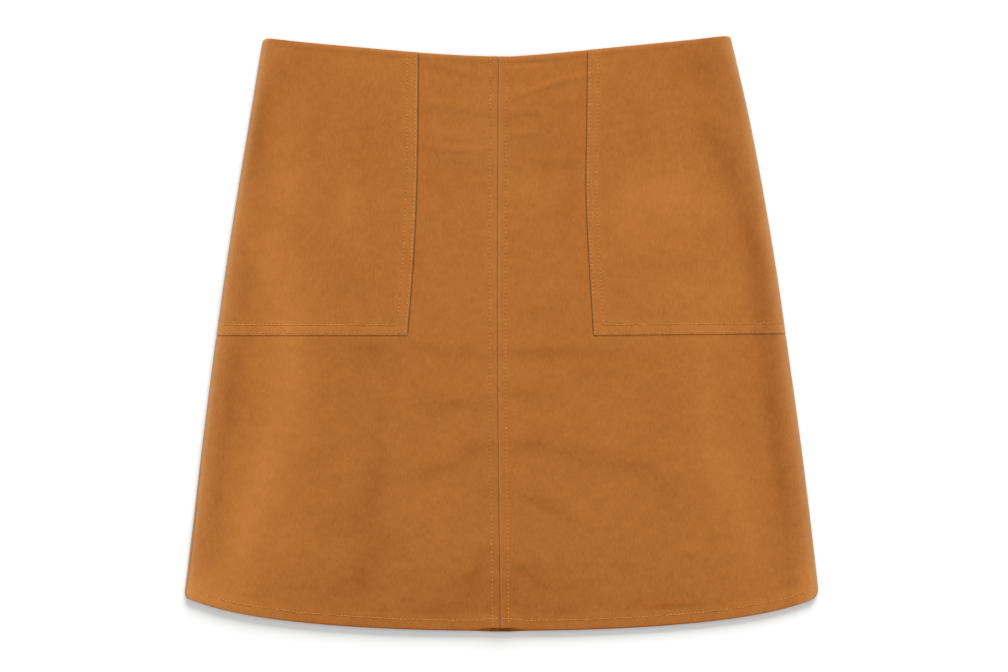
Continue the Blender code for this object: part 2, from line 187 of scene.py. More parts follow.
# Topstitching
STITCH_PITCH = 3.1
STITCH_LENGTH = 2.7
THREAD_RADIUS = 0.26
STITCH_SINK = 0.25  # how far a stitch's ends go into the cloth
STITCH_RAISE = 0.1
StitchRing = namedtuple("StitchRing", "place height size")
STITCH_RINGS = [StitchRing(*row) for row in (
    (-0.5, -1.0, 0.55), (-0.36, 0.25, 0.95), (0.0, 1.0, 1.0), (0.36, 0.25, 0.95), (0.5, -1.0, 0.55))]
THREAD_SIDES = 6
STITCH_SWAY = 0.12  # how unevenly the stitches lie: sideways, in height and in length
STITCH_LIFT_VARY = 0.07
STITCH_LENGTH_VARY = 0.14
STITCH_LENGTH_LIMITS = (-1.5, 1.0)
STITCH_GROOVE = 0.06
STITCH_GROOVE_HALF = 0.9
PUCKER = 0.07  # the cloth's small waves along a row of stitches
SEAM_PUCKER_REACH = 3.0
HEM_PUCKER_SEED = 0.7
POCKET_PUCKER_REACH = 3.5
POCKET_PUCKER_SEED = 1.9
WAVES = ((7.3, 0.0), (11.9, 2.1), (19.7, 4.4))  # lengths and phases that make a wave irregular
HOLE_LENGTH = 0.55
HOLE_HALF = 0.32
HOLE_LIFT = 0.02  # how far a needle hole's middle and rim are above the cloth
HOLE_RIM_LIFT = 0.07
HOLE_SIDES = 8
SEAM_STITCH = {-1: 5.8, 1: 6.5}  # rows beside the centre front seam
SEAM_STITCH_ENDS = (1.5, 1.0)  # how far inside the waist and the hem they stop
POCKET_STITCHES = (1.6, 8.0)
POCKET_STITCH_START = 1.0
POCKET_STITCH_END = 0.6  # of the roll's radius, inside the side edge
HEM_STITCH = 7.7
HEM_STITCH_START = 0.8  # how far from the centre seam the hem's row starts
HEM_STITCH_END = {-1: 9.0, 1: 5.0}  # how far inside the side edge it stops
LINE_STEP = 1.0

# Creases: trough where depth is above 0, ridge where it is below. Angle is from +X, in degrees, and bend
# is how far the two ends curve up.
Crease = namedtuple("Crease", "x y length width angle depth bend", defaults=(0,))
CREASES = [Crease(*row) for row in (
    # centre strip, left of the seam
    (-36, 204, 44, 6, -14, -0.27, 2),
    (-38, 176, 44, 8, -6, -0.37),
    (-13, 167, 14, 4, 4, 0.17),
    (-40, 143, 46, 6, -4, -0.38, 1),
    (-34, 135, 30, 5, 0, -0.24),
    (-20, 116, 18, 6, 0, -0.27),
    (-17, 77, 14, 4, -4, -0.31),
    (-42, 72, 14, 7, 0, -0.2),
    (-17, 55, 16, 5, 0, -0.17),
    (-17, 20, 16, 5, 8, -0.24),
    # centre strip, right of the seam
    (26, 209, 36, 4, 3, 0.24),
    (40, 193.5, 60, 4.4, 17, -0.6, -1),
    (20, 172, 34, 6, 2, -0.36, -1),
    (54, 178, 14, 8, -40, -0.17),
    (18, 155, 26, 4.4, 12, -0.24),
    (12, 130, 18, 5, -18, -0.34),
    (40, 135, 44, 9, 0, -0.31),
    (14, 97, 26, 3.6, 3, 0.14),
    (10, 81, 14, 5, 12, -0.34),
    (8, 66, 12, 4, 12, -0.24),
    (53, 90, 16, 7, -60, -0.2),
    (15, 53, 12, 5, 0, -0.25),
    (32, 20, 44, 7, 6, -0.28, -2),
    # across the front, below the pockets
    (-48, -12, 50, 7, -2, 0.15),
    (-26, -14, 20, 5, -18, 0.14),
    (30, -15, 50, 6, 3, 0.24),
    (80, -16, 70, 8, -2, 0.15),
    (-40, -52, 44, 7, -4, -0.13),
    (24, -46, 34, 8, -6, -0.2, 1),
    # arch over the lower middle
    (-47, -102, 34, 8, 17, -0.18),
    (-20, -90, 28, 6, 16, -0.2),
    (22, -84, 32, 7, 8, -0.18),
    (50, -91, 34, 7, -24, -0.18),
    (84, -97, 52, 8, -4, -0.24),
    (118, -106, 30, 9, -32, -0.13),
    (30, -131, 50, 6, -29, -0.24),
    # near the hem
    (-25, -184, 24, 6, 35, -0.36),
    (-42, -195, 20, 7, 25, -0.24),
    (14, -177, 14, 6, -20, -0.34),
    (28, -189, 24, 5, -38, -0.37),
    (48, -191, 12, 8, 0, -0.27),
    (-4, -188, 18, 6, 4, -0.2),
    (132, -209, 44, 6, 3, -0.58),
    (102, -177, 24, 4, 4, -0.2),
    (150, -169, 18, 10, 0, -0.31),
    (-107, -186, 18, 12, 70, -0.51),
    (-97, -128, 18, 10, 80, -0.37),
    # under the pockets' cloth
    (130, 60, 70, 26, -3, -0.68),
    (-120, 46, 50, 26, -8, -0.44),
)]
BACK_CREASES = [Crease(*row) for row in (
    (-120, 40, 90, 12, 8, 0.25, 2),
    (110, -30, 120, 14, -6, 0.3, -3),
    (-60, -110, 80, 10, -14, 0.22),
    (140, -140, 70, 12, 20, 0.25),
    (90, 110, 60, 9, 12, 0.2),
)]

# Soft patches, lighter or darker: painted light and shade over the creases, folds and sides, partly also
# the brushed fibres' own uneven lie
Patch = namedtuple("Patch", "x y length width angle shade")
PATCHES = [Patch(*row) for row in (
    # dark bands along the sides
    (-180, 187, 44, 14, 74, -0.4),
    (-190, 150, 64, 17, 80, -1.20),
    (-160, 206, 40, 18, 60, -0.3),
    (-200, 52, 50, 13, 84, -0.25),
    (-208, -40, 72, 17, 82, -0.8),
    (-218, -112, 60, 11, 82, -0.45),
    (155, 208, 44, 26, -60, -0.6),
    (184, 186, 44, 14, -76, -0.85),
    (160, 156, 40, 22, -50, -0.4),
    (174, 129, 60, 20, -66, -0.65),
    (195, 70, 74, 15, -76, -0.95),
    (203, 12, 84, 18, -80, -0.95),
    (210, -62, 74, 16, -82, -0.95),
    (217, -122, 60, 13, -82, -0.65),
    (222, -180, 54, 12, -82, -0.35),
    # light bands inside them
    (-168, 152, 40, 18, 80, 0.2),
    (-166, 113, 50, 30, 84, 0.7),
    (-180, 62, 44, 34, 80, 0.75),
    (-166, 14, 80, 40, 88, 0.8),
    (-164, -42, 70, 36, 86, 0.65),
    (-184, -104, 84, 40, 76, 1.05),
    (-198, -160, 70, 34, 76, 0.95),
    (-170, -162, 36, 24, 70, 0.25),
    (-238, -200, 54, 40, 0, 1.20),
    (129, 106, 60, 40, -8, 0.85),
    (168, 98, 34, 26, 0, 0.35),
    (100, 92, 56, 24, 85, 0.45),
    (158, 36, 90, 50, -6, 0.5),
    (168, 6, 36, 20, 88, 0.3),
    (160, -58, 90, 24, -88, 0.45),
    (176, -110, 56, 36, -70, 0.55),
    (190, -158, 56, 26, -80, 0.45),
    (240, -194, 50, 22, 80, 1.00),
    # darker places in the pockets and below them
    (-145, 152, 60, 14, 86, -0.25),
    (-108, 145, 60, 34, 80, -0.25),
    (-119, 97, 50, 20, 88, 0.5),
    (-118, 50, 50, 26, -10, -0.15),
    (107, 160, 80, 12, 88, -0.2),
    (135, 205, 30, 14, 0, -0.35),
    (-108, -14, 56, 26, -4, -0.5),
    (-125, -48, 40, 30, 0, -0.3),
    (-95, -75, 60, 12, 88, -0.35),
    (-140, -98, 28, 20, 0, -0.3),
    (-99, -120, 50, 22, 76, -0.85),
    (-92, -160, 40, 28, 20, -0.5),
    (-106, -186, 36, 22, 76, -0.65),
    (-132, -198, 44, 30, 0, -0.45),
    (120, -40, 90, 24, 80, -0.15),
    (132, -207, 64, 14, 2, -0.5),
    # lighter and darker places in the middle
    (-46, 157, 46, 12, -6, 0.45),
    (-12, 150, 44, 30, -4, 0.65),
    (-10, 184, 30, 26, 0, 0.3),
    (-54, 196, 40, 10, -4, 0.25),
    (18, 112, 46, 22, 0, 0.25),
    (44, 202, 50, 9, 12, -0.2),
    (42, 177, 44, 9, 8, -0.35),
    (52, 138, 24, 30, 0, -0.25),
    (52, 100, 50, 18, 88, -0.4),
    (-54, 118, 30, 26, 0, -0.25),
    (40, 36, 40, 14, 0, 0.2),
    (30, 22, 46, 9, 8, -0.2),
    (-6, 80, 250, 12, 90, 0.3),
    (-70, 60, 26, 40, 0, -0.25),
    (-95, 207, 50, 14, 0, 0.35),
    (-34, 150, 50, 8, -8, -0.3),
    (14, 122, 40, 20, 0, 0.3),
    # along the side edges
    (-231, -130, 60, 12, 82, 0.4),
    (-200, 92, 34, 14, 82, 0.45),
    (-213, 10, 34, 10, 84, 0.4),
    (196, 110, 50, 12, -76, -0.3),
    (206, 78, 20, 12, -76, 0.35),
    (-198, 36, 44, 12, 84, -0.4),
    (-192, -28, 26, 12, 84, 0.3),
    (148, -2, 26, 18, 0, 0.35),
    (-214, -209, 64, 11, -14, 0.6),
    (208, -208, 64, 11, 14, 0.45),
    # streaks across the front, below the pockets
    (75, -31, 60, 14, 0, -0.4),
    (-92, -11, 40, 10, -8, -0.3),
    (-38, -15, 60, 10, -8, -0.5),
    (30, -16, 54, 10, 2, -0.8),
    (80, -17, 60, 10, -2, -0.5),
    (14, -32, 40, 14, 0, 0.2),
    (22, -45, 34, 13, -4, -0.6),
    (-42, -52, 56, 14, -4, -0.45),
    (-50, -106, 44, 14, 20, -0.6),
    (-18, -88, 30, 11, 14, -0.6),
    (22, -84, 34, 15, 6, -0.55),
    (64, -92, 60, 12, -8, -0.6),
    (106, -102, 40, 14, -16, -0.55),
    (126, -118, 30, 16, -40, -0.3),
    (34, -131, 50, 11, -29, -0.7),
    (50, -104, 70, 20, -6, -0.2),
    (-120, -145, 40, 26, 0, -0.4),
    (-5, -125, 30, 20, 0, -0.3),
    (-48, -62, 80, 16, 14, -0.2),
    (125, -128, 40, 16, -30, -0.3),
    (-187, -150, 26, 18, 80, -0.35),
    # darker towards the middle of the hem
    (-50, -214, 110, 14, 4, -0.45),
    (0, -196, 260, 64, 0, -0.45),
    (-22, -190, 44, 16, 64, -0.5),
    (4, -206, 40, 22, 0, -0.35),
    (26, -188, 34, 14, -40, -0.5),
    (44, -216, 44, 14, 0, -0.45),
    (-48, -166, 40, 30, 0, 0.15),
)]
RIM_PAINTED_SHEEN = 0.4  # painted sheen: a lighter band on the roll along each side
RIM_REACH = 12.0
# Down each side edge: a band of painted sheen at its place inside the edge, and a line of painted shade
# along the very edge
Rim = namedtuple("Rim", "light place half shade reach")
RIMS = {-1: Rim(0.7, 2.3, 2.2, 1.6, 0.9), 1: Rim(0.45, 4.5, 2.2, 2.3, 1.3)}
SIDE_SEAM_PAINTED_SHADE = 2.2  # painted shade in the side seam, where it has turned up onto the roll
SEAM_SHADE_HALF = 0.5
SEAM_SHADE_ANGLE = math.radians(40.0)
HEM_PAINTED_SHADE = 1.2  # painted shade along the hem's fold
HEM_SHADE_REACH = 1.8
HEM_SHADE_X = (120.0, 200.0)  # it fades out between these, towards the corners
SEAM_LINE_PAINTED_SHADE = 0.6  # painted shade in the centre front seam
POCKET_LINE_PAINTED_SHADE = {-1: 0.9, 1: 0.3}  # painted shade also along each pocket's inner edge
LINE_HALF = 0.5
POCKET_HEM_PAINTED_LIGHT = 0.4  # painted light on the double-stitched band above a pocket's lower edge
POCKET_EDGE_PAINTED_LIGHT = 0.3  # painted light also beside its inner edge
POCKET_LIGHT_START = 5.0  # how far inside the edge it starts to fade, and how soon it is gone
POCKET_LIGHT_REACH = 10.0
# the darkest that the painted shade and the fibres' lie may make the cloth together
DARKEST_NAP_AND_SHADE = -1.6

# Painted sheen and highlights: how far a pale colour shows along edges and folds where they catch the
# light
SIDE_PAINTED_SHEEN = 0.40
SIDE_SHEEN_REACH = 2.0
SIDE_SHEEN_HAZE = 0.06
SIDE_SHEEN_HAZE_REACH = 7.0
WAIST_PAINTED_HIGHLIGHT = 0.05
WAIST_HIGHLIGHT_REACH = 2.6
SEAM_PAINTED_HIGHLIGHT = {-1: 0.0, 1: 0.08}  # painted highlight on the folds of the centre front seam
POCKET_PAINTED_HIGHLIGHT = {-1: 0.13, 1: 0.05}  # painted highlight on each pocket's inner fold
POCKET_LOWER_HIGHLIGHT = 0.05
FOLD_HIGHLIGHT_PLACE = 1.1  # how far inside a folded edge it is palest
FOLD_HIGHLIGHT_HALF = 0.55


# ---- outline, as in the part

def smooth(value):
    value = np.clip(value, 0.0, 1.0)
    return value * value * (3.0 - 2.0 * value)


def fall(value, start, reach):
    """1 up to a start, falling to 0 within a reach."""
    return 1.0 - smooth((value - start) / reach)


def mix(start, end, weight):
    return start + (end - start) * weight


def table_value(table, column, drop):
    """A smooth curve through one column of a table whose rows are evenly spaced."""
    step = table[1].drop - table[0].drop
    values = np.array([getattr(row, column) for row in table])
    values = np.concatenate([[2.0 * values[0] - values[1]], values, [2.0 * values[-1] - values[-2]]])
    place = np.clip(np.asarray(drop, float) / step, 0.0, len(table) - 1.0)
    index = np.minimum(place.astype(int), len(table) - 2)
    before, start, end, after = (values[index + shift] for shift in range(4))
    t = place - index
    return ((2 * t**3 - 3 * t**2 + 1) * start + (t**3 - 2 * t**2 + t) * (end - before) / 2.0
            + (3 * t**2 - 2 * t**3) * end + (t**3 - t**2) * (after - start) / 2.0)


def waist_y(x):
    away = x - WAIST_DIP_X
    rounding = np.where(away > 0.0, WAIST_ROUND_RIGHT, WAIST_ROUND_LEFT)
    return WAIST_Y + WAIST_SLOPE * (np.hypot(away, rounding) - rounding)


def hem_y(x):
    part = np.abs(x) / HEM_HALF
    return HEM_Y + HEM_SAG * part**HEM_SAG_POWER + HEM_CORNER_LIFT * part**HEM_CORNER_POWER


def row_y(x, drop):
    return mix(waist_y(x), hem_y(x), drop / SIDE_LENGTH)


def drop_at(x, y):
    return SIDE_LENGTH * (waist_y(x) - y) / (waist_y(x) - hem_y(x))


def corner_inset(radius, from_corner):
    into = np.clip(radius - from_corner, 0.0, radius)
    return radius - np.sqrt(radius**2 - into**2)


def outline_x(side, drop):
    column = "left" if side < 0 else "right"
    corner = CORNER_ROUND[side]
    inset = corner_inset(corner.waist, drop) + corner_inset(corner.hem, SIDE_LENGTH - drop)
    return table_value(SECTIONS, column, drop) - side * inset


def tube_x(side, drop):
    return outline_x(side, drop) - side * POCKET_RISE * fall(drop, POCKET_SIDE_DROP, POCKET_FADE)


def front_seam_x(drop):
    return table_value(SECTIONS, "seam", drop)


def pocket_edge_x(side, drop):
    return table_value(POCKET_EDGES, "left" if side < 0 else "right", drop)


def pocket_bottom_y(x):
    corner = pocket_edge_x(1, POCKET_SIDE_DROP)
    return POCKET_BOTTOM_Y + POCKET_BOTTOM_TILT * np.maximum(0.0, x - corner)


def pocket_y(x, drop):
    return mix(waist_y(x), pocket_bottom_y(x), drop / POCKET_SIDE_DROP)


def pocket_edge_at(side, y):
    """Where a pocket's inner edge is at a height y."""
    x = pocket_edge_x(side, 0.0)
    drop = POCKET_SIDE_DROP * (waist_y(x) - y) / (waist_y(x) - pocket_bottom_y(x))
    return pocket_edge_x(side, drop)


def pressed(drop):
    """From 0 where the rolls start to be pressed down to 1 at the hem."""
    return smooth((drop - ROLL_FLATTENS) / (SIDE_LENGTH - ROLL_FLATTENS))


def roll_radius(side, drop):
    return mix(ROLL, HEM_ROLL[side], pressed(drop))


def side_seam_angle(side, drop):
    turn = SIDE_SEAM[side]
    return np.radians(mix(turn.upper, turn.lower, smooth((drop - turn.start) / (turn.end - turn.start))))


def back_bottom(x, y):
    across = fall(np.abs(x - BACK_SEAM_X), ZIP_ROOM_HALF, ZIP_ROOM_FALL)
    return ZIP_ROOM * across * fall(ZIP_ROOM_END_Y - y, 0.0, ZIP_ROOM_FALL)


def near_hem(drop):
    """From 0 where the arch starts to 1 at the hem."""
    return smooth((drop - (SIDE_LENGTH - ARCH_DEPTH)) / ARCH_DEPTH)


def arch(x, drop):
    return fall(np.abs(x - ARCH_X), ARCH_FLAT, ARCH_HALF - ARCH_FLAT) * near_hem(drop)


# ---- relief, and painted light and shade

def spread(shape, x, y):
    """Distances along and across a crease or patch from its middle, in its own half sizes."""
    turn = math.radians(shape.angle)
    along = ((x - shape.x) * math.cos(turn) + (y - shape.y) * math.sin(turn)) / (shape.length / 2.0)
    across = (y - shape.y) * math.cos(turn) - (x - shape.x) * math.sin(turn)
    return along, across


def relief(creases, x, y):
    """Height that the creases add, with soft ends."""
    height = np.zeros(np.broadcast(x, y).shape)
    for crease in creases:
        along, across = spread(crease, x, y)
        across = (across - crease.bend * along**2) / (crease.width / 2.0)
        height -= crease.depth * np.exp(-across**2 - np.abs(along)**3)
    return height


def bell(distance, half):
    return np.exp(-(distance / half)**2)


def nap_and_painted_light(side, x, y):
    """Painted light and shade, partly the brushed fibres' own lighter and darker lie: 0 is the plain
    cloth, above 0 lighter, and below 0 darker.
    """
    shade = np.zeros(np.broadcast(x, y).shape)
    for patch in PATCHES:
        along, across = spread(patch, x, y)
        shade += patch.shade * np.exp(-(across / (patch.width / 2.0))**2 - along**2)
    drop = drop_at(x, y)
    from_edge = np.abs(outline_x(side, drop) - x)
    from_hem = np.maximum(SIDE_LENGTH - drop, 0.0)
    fade_start, fade_end = HEM_SHADE_X
    middle = fall(np.abs(x), fade_start, fade_end - fade_start)
    # Painted sheen and painted shade down the sides, and painted shade along the hem's fold and in the
    # side seam.
    shade += RIM_PAINTED_SHEEN * bell(from_edge, RIM_REACH) - HEM_PAINTED_SHADE * middle * bell(from_hem, HEM_SHADE_REACH)
    rim = RIMS[side]
    shade += rim.light * bell(from_edge - rim.place, rim.half) - rim.shade * bell(from_edge, rim.reach)
    angle = side_seam_angle(side, drop)
    seam_place = roll_radius(side, drop) * (1.0 - np.cos(angle))
    turned = smooth(angle / SEAM_SHADE_ANGLE)
    shade -= SIDE_SEAM_PAINTED_SHADE * turned * bell(np.abs(tube_x(side, drop) - x) - seam_place, SEAM_SHADE_HALF)
    return np.maximum(shade, DARKEST_NAP_AND_SHADE)


def painted_sheen(side, x, y):
    """Painted sheen along the sides and painted highlight along the waist: how much of the pale colour
    shows, where 1 is only it.
    """
    drop = drop_at(x, y)
    from_edge = np.abs(outline_x(side, drop) - x)
    sides = SIDE_PAINTED_SHEEN * np.exp(-from_edge / SIDE_SHEEN_REACH)
    sides += SIDE_SHEEN_HAZE * np.exp(-from_edge / SIDE_SHEEN_HAZE_REACH)
    waist = WAIST_PAINTED_HIGHLIGHT * bell(np.maximum(drop, 0.0), WAIST_HIGHLIGHT_REACH)
    return np.maximum(sides, waist)


def fold_painted_sheen(strength, from_fold):
    """Painted highlight along a folded edge."""
    return strength * bell(from_fold - FOLD_HIGHLIGHT_PLACE, FOLD_HIGHLIGHT_HALF)


def waver(place, seed):
    """A gentle irregular wave, from about -1 to 1."""
    waves = [np.sin(place * 2.0 * math.pi / length + phase + seed) for length, phase in WAVES]
    return sum(waves) / len(WAVES)


def groove(distance):
    """Depth of the dent that a row of stitches presses into the cloth."""
    return STITCH_GROOVE * bell(distance, STITCH_GROOVE_HALF)


def pucker(distance, place, reach, seed):
    """Small waves in the cloth beside a row of stitches, along it."""
    return PUCKER * waver(place, seed) * bell(distance, reach)


def from_pocket_edge(side, x, y):
    """Distance from a pocket's inner edge, or from its lower corner past that."""
    return np.abs(x - pocket_edge_at(side, y)) + np.maximum(0.0, pocket_bottom_y(x) - y)


# ---- heights

def lying_height(side, x, drop):
    """The front's outer face: the roll along the side, then down onto the back."""
    y = row_y(x, drop)
    seam = np.abs(x - front_seam_x(drop))
    ridge = SEAM_RIDGE * fall(seam, 0.0, SEAM_RIDGE_HALF)
    from_zip = np.hypot(x - BACK_SEAM_X, np.maximum(0.0, ZIP_ROOM_END_Y - y))
    lift = FRONT_LIFT * fall(from_zip, FRONT_LIFT_HALF, FRONT_LIFT_FALL)
    hem = HEM_RISE * smooth((drop - (SIDE_LENGTH - HEM_RISE_START)) / HEM_RISE_REACH)
    step_start, step_end = WAIST_STEP
    waist = WAIST_RISE * fall(drop, step_start, step_end - step_start)
    waist = waist - WAIST_ROUND * np.clip(1.0 - drop / WAIST_ROUND_REACH, 0.0, 1.0)**2
    tilt = HEM_TILT * pressed(drop) * x / HEM_HALF
    lying = REST_HEIGHT + CLOTH + hem + waist + ridge + lift + ARCH_LIFT * arch(x, drop) - tilt
    from_edge = np.abs(tube_x(side, drop) - x)
    radius = roll_radius(side, drop)
    return mix(2.0 * radius, lying, smooth((from_edge - radius) / ROLL_REACH))


def front_height(side, x, drop):
    y = row_y(x, drop)
    seam = np.abs(x - front_seam_x(drop))
    from_seam_row = seam - SEAM_STITCH[side]
    from_hem_row = (SIDE_LENGTH - drop) - HEM_STITCH
    rows = groove(from_seam_row) + groove(from_hem_row)
    ripple = pucker(from_seam_row, y, SEAM_PUCKER_REACH, side)
    ripple += pucker(from_hem_row, x, SEAM_PUCKER_REACH, HEM_PUCKER_SEED)
    trough = POCKET_TROUGH * bell(from_pocket_edge(side, x, y), POCKET_TROUGH_HALF)
    return lying_height(side, x, drop) + relief(CREASES, x, y) - rows + ripple - trough


def pocket_height(side, x, y):
    drop = drop_at(x, y)
    inside = np.minimum(np.abs(x - pocket_edge_at(side, y)), y - pocket_bottom_y(x))
    rows = sum(groove(inside - offset) for offset in POCKET_STITCHES)
    ripple = pucker(inside - POCKET_STITCHES[1], x + y, POCKET_PUCKER_REACH, POCKET_PUCKER_SEED * side)
    return lying_height(side, x, drop) + POCKET_RISE + relief(CREASES, x, y) - rows + ripple


def back_height(x, drop):
    y = row_y(x, drop)
    lifted = back_bottom(x, y)
    rows = groove((SIDE_LENGTH - drop) - HEM_STITCH)
    return lifted + rows + np.maximum(0.0, -relief(BACK_CREASES, x, y))


# ---- grids of points

def spaced(start, end, step):
    count = max(2, int(round(abs(end - start) / step)) + 1)
    return np.linspace(start, end, count)


def unit(vectors):
    return vectors / np.maximum(np.linalg.norm(vectors, axis=-1, keepdims=True), TINY)


def grid_normals(points):
    """Unit normals of a grid whose rows run down and whose columns run to the right: up is positive."""
    return unit(np.cross(np.gradient(points, axis=0), np.gradient(points, axis=1)))


class Cloth:
    """Grids of points, their upward normals, and how much room each point leaves for a fold."""

    def __init__(self, points, facing):
        self.grids = [points, facing * grid_normals(points), np.ones(points.shape[:2])]

    def turn_under(self, axis, last, radius, depth, later_radius):
        """Fold one edge under: round the fold, back by a depth, and up to the raw edge. The fold leaves
        room inside it for a later one across it."""
        order = 1 if last else -1
        points, normals, room = (grid.swapaxes(0, axis)[::order] for grid in self.grids)
        edge, up, open_room = points[-1], normals[-1], room[-1][:, None]
        out = unit(edge - points[-2])
        angles = np.linspace(0.0, math.pi, FOLD_STEPS + 1)[1:]
        arc = [edge + radius * open_room * (up * (math.cos(angle) - 1.0) + out * math.sin(angle))
               for angle in angles]
        fits = np.ravel(radius * open_room) / (2.0 * later_radius)
        arc_room = [np.minimum(room[-1], fits * (1.0 + math.cos(angle))) for angle in angles]
        reach = np.median(np.linalg.norm(points - edge, axis=2), axis=1)
        inner = [index for index in range(len(points) - 2, 0, -1) if reach[index] <= depth]
        under = [points[index] - 2.0 * radius * room[index][:, None] * normals[index] for index in inner]
        raw = under[-1] + radius * room[inner[-1]][:, None] * normals[inner[-1]]
        closed = [np.zeros(len(edge))] * (len(inner) + 1)
        grids = (np.concatenate([points, arc, under, [raw]]),
                 np.concatenate([normals, [up] * len(arc), normals[inner], normals[inner[-1:]]]),
                 np.concatenate([room, arc_room, closed]))
        self.grids = [grid[::order].swapaxes(0, axis) for grid in grids]


def side_roll(side, drop, top, rise, y_at):
    """Points round the roll, one row for each drop: from its top or bottom to the seam in its side."""
    steps = FRONT_ROLL_STEPS if top > 0 else BACK_ROLL_STEPS
    tube = roll_radius(side, drop)[:, None]
    seam = side_seam_angle(side, drop)[:, None] + top * (SIDE_FOLD + SIDE_CLEAR) / tube
    angles = mix(top * math.pi / 2.0, seam, np.linspace(0.0, 1.0, steps)[1:])
    middle = tube_x(side, drop)[:, None] - side * tube
    x = middle + side * (tube + rise) * np.cos(angles)
    outer = middle + side * tube * np.cos(angles)
    return np.stack([x, y_at(outer, drop[:, None]), tube + (tube + rise) * np.sin(angles)], axis=2)


def edge_strip(side, drop):
    """Distances in from the side edge, from the edge zone out to the top of the roll."""
    count = len(spaced(EDGE_ZONE, ROLL, EDGE_STEP))
    return mix(EDGE_ZONE, roll_radius(side, drop)[:, None], np.linspace(0.0, 1.0, count))


def in_order(side, flat, roll):
    """Columns from left to right: flat runs from the middle outwards, and roll goes on from it."""
    points = np.concatenate([flat, roll], axis=1)
    return points if side > 0 else points[:, ::-1]


def rows_between(start, end, step, ends):
    """Drops from start to end, finely spaced in the two ends."""
    upper, lower = start + ends[0], end - ends[1]
    return np.concatenate([spaced(start, upper, FINE), spaced(upper, lower, step)[1:],
                           spaced(lower, end, FINE)[1:]])


def between(start, end, count):
    """Even columns from the last of one run to the first of the next, without either."""
    return mix(start[:, -1:], end[:, :1], np.linspace(0.0, 1.0, count)[1:-1])


def front_points(side):
    drop = rows_between(FOLD, SIDE_LENGTH - HEM_FOLD, CLOTH_STEP, PANEL_ENDS)
    seam, edge = front_seam_x(drop), tube_x(side, drop)
    near = seam[:, None] + side * (FOLD + SEAM_CLEAR + spaced(0.0, SEAM_ZONE, FINE))
    far = edge[:, None] - side * edge_strip(side, drop)
    pocket = pocket_edge_at(side, row_y(pocket_edge_x(side, 0.0), drop))[:, None]
    strip = pocket + side * spaced(-POCKET_STRIP, POCKET_STRIP, POCKET_STRIP_STEP)
    inside = between(near, strip, int(POCKET_X / CLOTH_STEP))
    outside = between(strip, far, int((PANEL_X - POCKET_X - EDGE_ZONE) / CLOTH_STEP))
    x = np.concatenate([near, inside, strip, outside, far], axis=1)
    down = drop[:, None]
    lifted = ARCH_SHIFT * arch(x, down)
    flat = np.stack([x, row_y(x, down) + lifted, front_height(side, x, down)], axis=2)
    points = in_order(side, flat, side_roll(side, drop, 1, 0.0, row_y))
    points[:, :, 1] += (FRONT_HEM_STEP * near_hem(drop))[:, None]
    return points


def pocket_points(side):
    drop = rows_between(POCKET_FOLD, POCKET_SIDE_DROP - POCKET_FOLD, CLOTH_STEP, POCKET_ENDS)
    inner, edge = pocket_edge_x(side, drop), tube_x(side, drop)
    near = inner[:, None] + side * (POCKET_FOLD + spaced(0.0, SEAM_ZONE, FINE))
    far = edge[:, None] - side * edge_strip(side, drop)
    middle = between(near, far, int((POCKET_SIDE_X - POCKET_X - EDGE_ZONE) / CLOTH_STEP))
    x = np.concatenate([near, middle, far], axis=1)
    y = pocket_y(x, drop[:, None])
    flat = np.stack([x, y, pocket_height(side, x, y)], axis=2)
    return in_order(side, flat, side_roll(side, drop, 1, POCKET_RISE, pocket_y))


def back_points(side):
    drop = rows_between(FOLD, SIDE_LENGTH - HEM_FOLD, BACK_STEP, PANEL_ENDS)
    edge = tube_x(side, drop)
    near = BACK_SEAM_X + side * (FOLD + SIDE_CLEAR + spaced(0.0, SEAM_ZONE, EDGE_STEP))
    near = np.broadcast_to(near, (len(drop), len(near)))
    far = (edge - side * roll_radius(side, drop))[:, None]
    middle = between(near, far, int(PANEL_X / BACK_STEP))
    x = np.concatenate([near, middle, far], axis=1)
    down = drop[:, None]
    flat = np.stack([x, row_y(x, down), back_height(x, down)], axis=2)
    points = in_order(side, flat, side_roll(side, drop, -1, 0.0, row_y))
    points[:, :, 1] += BACK_HEM_LIFT * arch(points[:, :, 0], down)
    points[:, :, 1] -= (BACK_WAIST_STEP * fall(drop, 0.0, ARCH_DEPTH))[:, None]
    return points


# ---- meshes

def add_mesh(name, points, faces, material, smooth_shading=True):
    mesh = bpy.data.meshes.new(name)
    mesh.from_pydata((np.asarray(points) * MM).tolist(), [], faces)
    mesh.materials.append(material)
    if smooth_shading:
        mesh.shade_smooth()
    obj = bpy.data.objects.new(name, mesh)
    bpy.context.scene.collection.objects.link(obj)
    return obj


def grid_faces(rows, columns, facing):
    index = np.arange(rows * columns).reshape(rows, columns)
    corners = [index[:-1, :-1], index[1:, :-1], index[1:, 1:], index[:-1, 1:]]
    if facing < 0:
        corners = corners[::-1]
    return np.stack(corners, axis=2).reshape(-1, 4).tolist()


def add_attribute(obj, name, values):
    attribute = obj.data.attributes.new(name, "FLOAT", "POINT")
    attribute.data.foreach_set("value", values.ravel().astype(np.float32))


def add_cloth(node, points, facing, nap_and_shading, pale, material):
    """A cloth shell from a grid of points, in place of its CAD solid."""
    rows, columns = points.shape[:2]
    obj = add_mesh("cloth_" + node, points.reshape(-1, 3), grid_faces(rows, columns, facing), material)
    # Attributes: painted light and shade with the fibres' own lie, and painted sheen.
    add_attribute(obj, "nap_and_painted_light", nap_and_shading)
    add_attribute(obj, "painted_sheen", pale)
    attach(obj, "skirt")
    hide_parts(node)
    return obj


